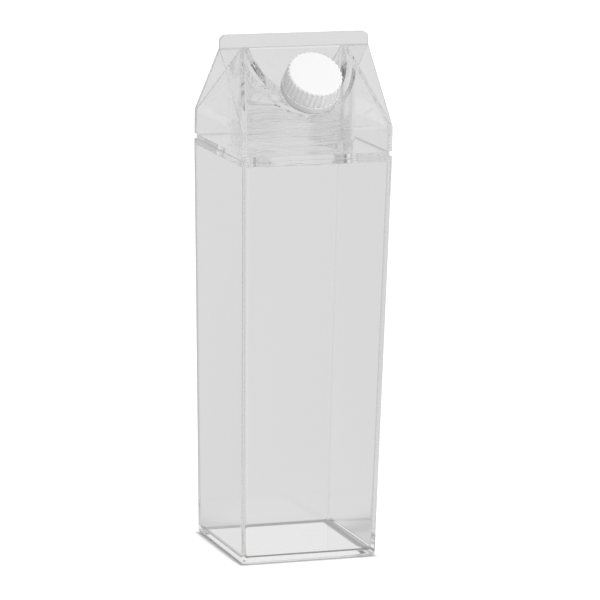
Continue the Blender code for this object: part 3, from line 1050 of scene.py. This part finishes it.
@dataclass(frozen=True)
class Lamp:
    """Soft rectangular light that faces the bottle and is not seen through it."""

    name: str
    place: tuple[float, float, float]
    size: tuple[float, float]
    power: float
    mirrored: bool = True

    def build(self, aim_height: float) -> None:
        """Adds the lamp.

        Args:
            aim_height: Height of the point over the origin that it faces.
        """
        data = bpy.data.lights.new(self.name, "AREA")
        data.shape = "RECTANGLE"
        data.size, data.size_y = self.size
        data.energy = self.power
        lamp = bpy.data.objects.new(self.name, data)
        lamp.location = self.place
        lamp.visible_glossy = self.mirrored
        lamp.visible_transmission = False
        aim = Vector((0.0, 0.0, aim_height)) - Vector(self.place)
        lamp.rotation_euler = aim.to_track_quat("-Z", "Y").to_euler()
        bpy.context.scene.collection.objects.link(lamp)


@dataclass
class Studio:
    """White floor, soft lights and the camera of the photograph."""

    azimuth: float = math.radians(-19.267)
    elevation: float = math.radians(11.120)
    roll: float = math.radians(0.949)
    distance: float = 2.33834
    lens: float = 271.636
    target_across: float = 0.005293
    target_height: float = 0.129967
    floor_size: float = 8.0
    # The floor's glow as the bottle sees it: painted studio shade by direction, darker beside the bottle.
    floor_contrast: float = 0.5
    floor_grey: float = 0.68
    side_shades: tuple[tuple[float, float], ...] = (
        (0.0, 0.70), (0.11, 0.60), (0.28, 0.82), (0.72, 0.80), (0.87, 0.30), (0.96, 0.55))
    depth_shades: tuple[tuple[float, float], ...] = ((0.0, 1.0), (0.5, 0.92), (0.8, 1.0))
    # Painted shadow ring on the floor round the foot, and painted light on the floor under the base, both
    # seen only through the bottle.
    shadow_ring_inside: tuple[float, float] = (0.0308, 0.0320)
    shadow_ring_outside: tuple[float, float] = (0.0364, 0.0392)
    shadow_ring_shade: float = 0.28
    light_under_base: float = 0.86
    top_shade: float = 0.70
    overhead: tuple[float, float] = (0.55, 0.85)
    # Where the white floor's glow fades in away from the foot: painted shade over the real shadow on the
    # paper.
    foot_shadow_fade: tuple[float, float] = (0.0360, 0.0392)
    paper: float = 0.9
    paper_glow: float = 0.55
    lamps: tuple[Lamp, ...] = (
        Lamp("front_strip", place=(0.12, -1.10, 1.20), size=(0.20, 1.3), power=6.0),
        Lamp("fill_right", place=(1.20, -0.80, 0.10), size=(0.8, 0.8), power=9.0, mirrored=False),
    )
    lamp_aim: float = 0.2
    bounces: int = 160

    def camera(self) -> None:
        """Places the camera of the photograph."""
        az, el = self.azimuth, self.elevation
        back = Vector((math.sin(az) * math.cos(el), -math.cos(az) * math.cos(el), math.sin(el)))
        right = Vector((math.cos(az), math.sin(az), 0.0))
        up = back.cross(right)
        across = math.cos(self.roll) * right + math.sin(self.roll) * up
        upward = -math.sin(self.roll) * right + math.cos(self.roll) * up
        eye = right * self.target_across + Vector((0.0, 0.0, self.target_height)) + back * self.distance
        data = bpy.data.cameras.new("photo_camera")
        data.lens = self.lens
        data.sensor_width = 36.0
        data.clip_start = 0.01
        data.clip_end = 50.0
        camera = bpy.data.objects.new("photo_camera", data)
        turn = Matrix((across, upward, back)).transposed().to_4x4()
        camera.matrix_world = Matrix.Translation(eye) @ turn
        bpy.context.scene.collection.objects.link(camera)
        bpy.context.scene.camera = camera

    def shade_round(self, tree: Tree, direction: Socket) -> Socket:
        """Grey of the studio by compass direction: light behind the bottle, darker beside it. In the world
        this is the light itself; on the floor it is painted studio shade.

        Args:
            tree: Tree of the material or the world.
            direction: Vector from the bottle, whose height is left out.

        Returns:
            Socket with the grey.
        """
        flat = tree.node("ShaderNodeVectorMath", {1: (1.0, 1.0, 0.0)}, operation="MULTIPLY")
        unit = tree.node("ShaderNodeVectorMath", operation="NORMALIZE")
        tree.link(direction, flat.inputs[0])
        tree.link(flat.outputs["Vector"], unit.inputs[0])
        right = (math.cos(self.azimuth), math.sin(self.azimuth), 0.0)
        away = (-math.sin(self.azimuth), math.cos(self.azimuth), 0.0)
        greys = []
        for axis, shades in ((right, self.side_shades), (away, self.depth_shades)):
            along = tree.node("ShaderNodeVectorMath", {1: axis}, operation="DOT_PRODUCT")
            tree.link(unit.outputs["Vector"], along.inputs[0])
            ramp = tree.node("ShaderNodeValToRGB")
            ramp.color_ramp.interpolation = "EASE"
            while len(ramp.color_ramp.elements) < len(shades):
                ramp.color_ramp.elements.new(0.5)
            for element, (spot, shade) in zip(ramp.color_ramp.elements, shades):
                element.position = spot
                element.color = (shade, shade, shade, 1.0)
            tree.link(tree.math("MULTIPLY_ADD", along.outputs["Value"], 0.5, 0.5), ramp.inputs[0])
            greys.append(ramp.outputs["Color"])
        return tree.math("MULTIPLY", *greys)

    def floor(self) -> None:
        """Pale floor: white paper to the eye, with painted shade where its glow fades round the foot; to
        the bottle a glow of painted studio shade, with a painted shadow ring round the foot and painted
        light under the base.
        """
        bm = bmesh.new()
        bmesh.ops.create_grid(bm, x_segments=1, y_segments=1, size=self.floor_size / 2.0)
        mesh = bpy.data.meshes.new("floor")
        bm.to_mesh(mesh)
        bm.free()
        floor = bpy.data.objects.new("floor", mesh)
        bpy.context.scene.collection.objects.link(floor)
        material = bpy.data.materials.new("pale_floor")
        material.use_nodes = True
        tree = Tree(material.node_tree)
        tree.group.nodes.remove(tree.group.nodes["Principled BSDF"])
        place = tree.node("ShaderNodeTexCoord").outputs["Object"]
        size = tree.node("ShaderNodeVectorMath", operation="ABSOLUTE")
        split = tree.node("ShaderNodeSeparateXYZ")
        tree.link(place, size.inputs[0])
        tree.link(size.outputs["Vector"], split.inputs[0])
        reach = tree.math("MAXIMUM", split.outputs["X"], split.outputs["Y"])
        steady = self.floor_grey * (1.0 - self.floor_contrast)
        # Painted studio shade on the floor's glow, darker beside the bottle and lighter behind it.
        shade = tree.math("MULTIPLY_ADD", self.shade_round(tree, place), self.floor_contrast, steady)
        # Painted shadow: a dark ring round the foot; inside it, painted light under the base.
        shade = tree.blend(tree.ease(reach, *self.shadow_ring_outside), self.shadow_ring_shade, shade)
        shade = tree.blend(tree.ease(reach, *self.shadow_ring_inside), self.light_under_base, shade)
        around = tree.node("ShaderNodeEmission")
        tree.link(shade, around.inputs["Strength"])
        paper = tree.node("ShaderNodeBsdfDiffuse", {"Color": (self.paper, self.paper, self.paper, 1.0)})
        glow = tree.node("ShaderNodeEmission")
        # Painted shadow round the foot: the glow fades near it, so the real shadow on the paper shows
        # there.
        tree.link(tree.ease(reach, *self.foot_shadow_fade, self.paper_glow), glow.inputs["Strength"])
        seen = tree.node("ShaderNodeAddShader")
        tree.link(paper.outputs[0], seen.inputs[0])
        tree.link(glow.outputs[0], seen.inputs[1])
        tree.eye_or_light(around, seen, tree.group.nodes["Material Output"].inputs["Surface"])
        mesh.materials.append(material)

    def world(self) -> None:
        """Studio all round: white behind the bottle, and greys that its edges pick up."""
        world = bpy.data.worlds.new("studio")
        bpy.context.scene.world = world
        world.use_nodes = True
        tree = Tree(world.node_tree)
        white = (1.0, 1.0, 1.0, 1.0)
        around = tree.group.nodes["Background"]
        around.inputs["Color"].default_value = white
        behind = tree.node("ShaderNodeBackground", {"Color": white, "Strength": 1.0})
        place = tree.node("ShaderNodeTexCoord").outputs["Generated"]
        split = tree.node("ShaderNodeSeparateXYZ")
        tree.link(place, split.inputs[0])
        high = tree.ease(split.outputs["Z"], *self.overhead)
        shade = tree.blend(high, self.shade_round(tree, place), self.top_shade)
        tree.link(shade, around.inputs["Strength"])
        tree.eye_or_light(around, behind, tree.group.nodes["World Output"].inputs["Surface"])

    def build(self) -> None:
        """Sets up the whole studio."""
        self.camera()
        self.floor()
        self.world()
        for lamp in self.lamps:
            lamp.build(self.lamp_aim)
        cycles = bpy.context.scene.cycles
        cycles.max_bounces = self.bounces
        cycles.transmission_bounces = self.bounces
        cycles.glossy_bounces = self.bounces
        view = bpy.context.scene.view_settings
        view.view_transform = "Standard"
        view.look = "None"


def main() -> None:
    """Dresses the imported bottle, piece by piece."""
    logging.basicConfig(level=logging.INFO, format="%(message)s")
    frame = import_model()
    LOG.info("frame: %d nodes", len(frame["nodes"]))
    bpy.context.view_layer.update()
    shop = Workshop()
    clear_box = ClearAcrylic("clear_box_acrylic")
    clear_top = ClearAcrylic("clear_top_acrylic")
    white = WhitePlastic("white_cap_plastic")
    thread = Thread()
    tree = thread_tree(clear_box.material())
    gable = GableTop()
    spout = Spout()

    box = BottleBody().build(shop, thread, tree, clear_box)
    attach(box, "root")
    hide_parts("bottle_body")

    top = gable.build(shop, thread, tree, spout, clear_top)
    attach(top, "root")
    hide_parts("gable_top")

    for piece in ScrewCap().build(shop, spout.frame(gable.slope), white):
        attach(piece, "root")
        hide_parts("screw_cap")
    shop.clear()
    Studio().build()


if __name__ == "__main__":
    main()
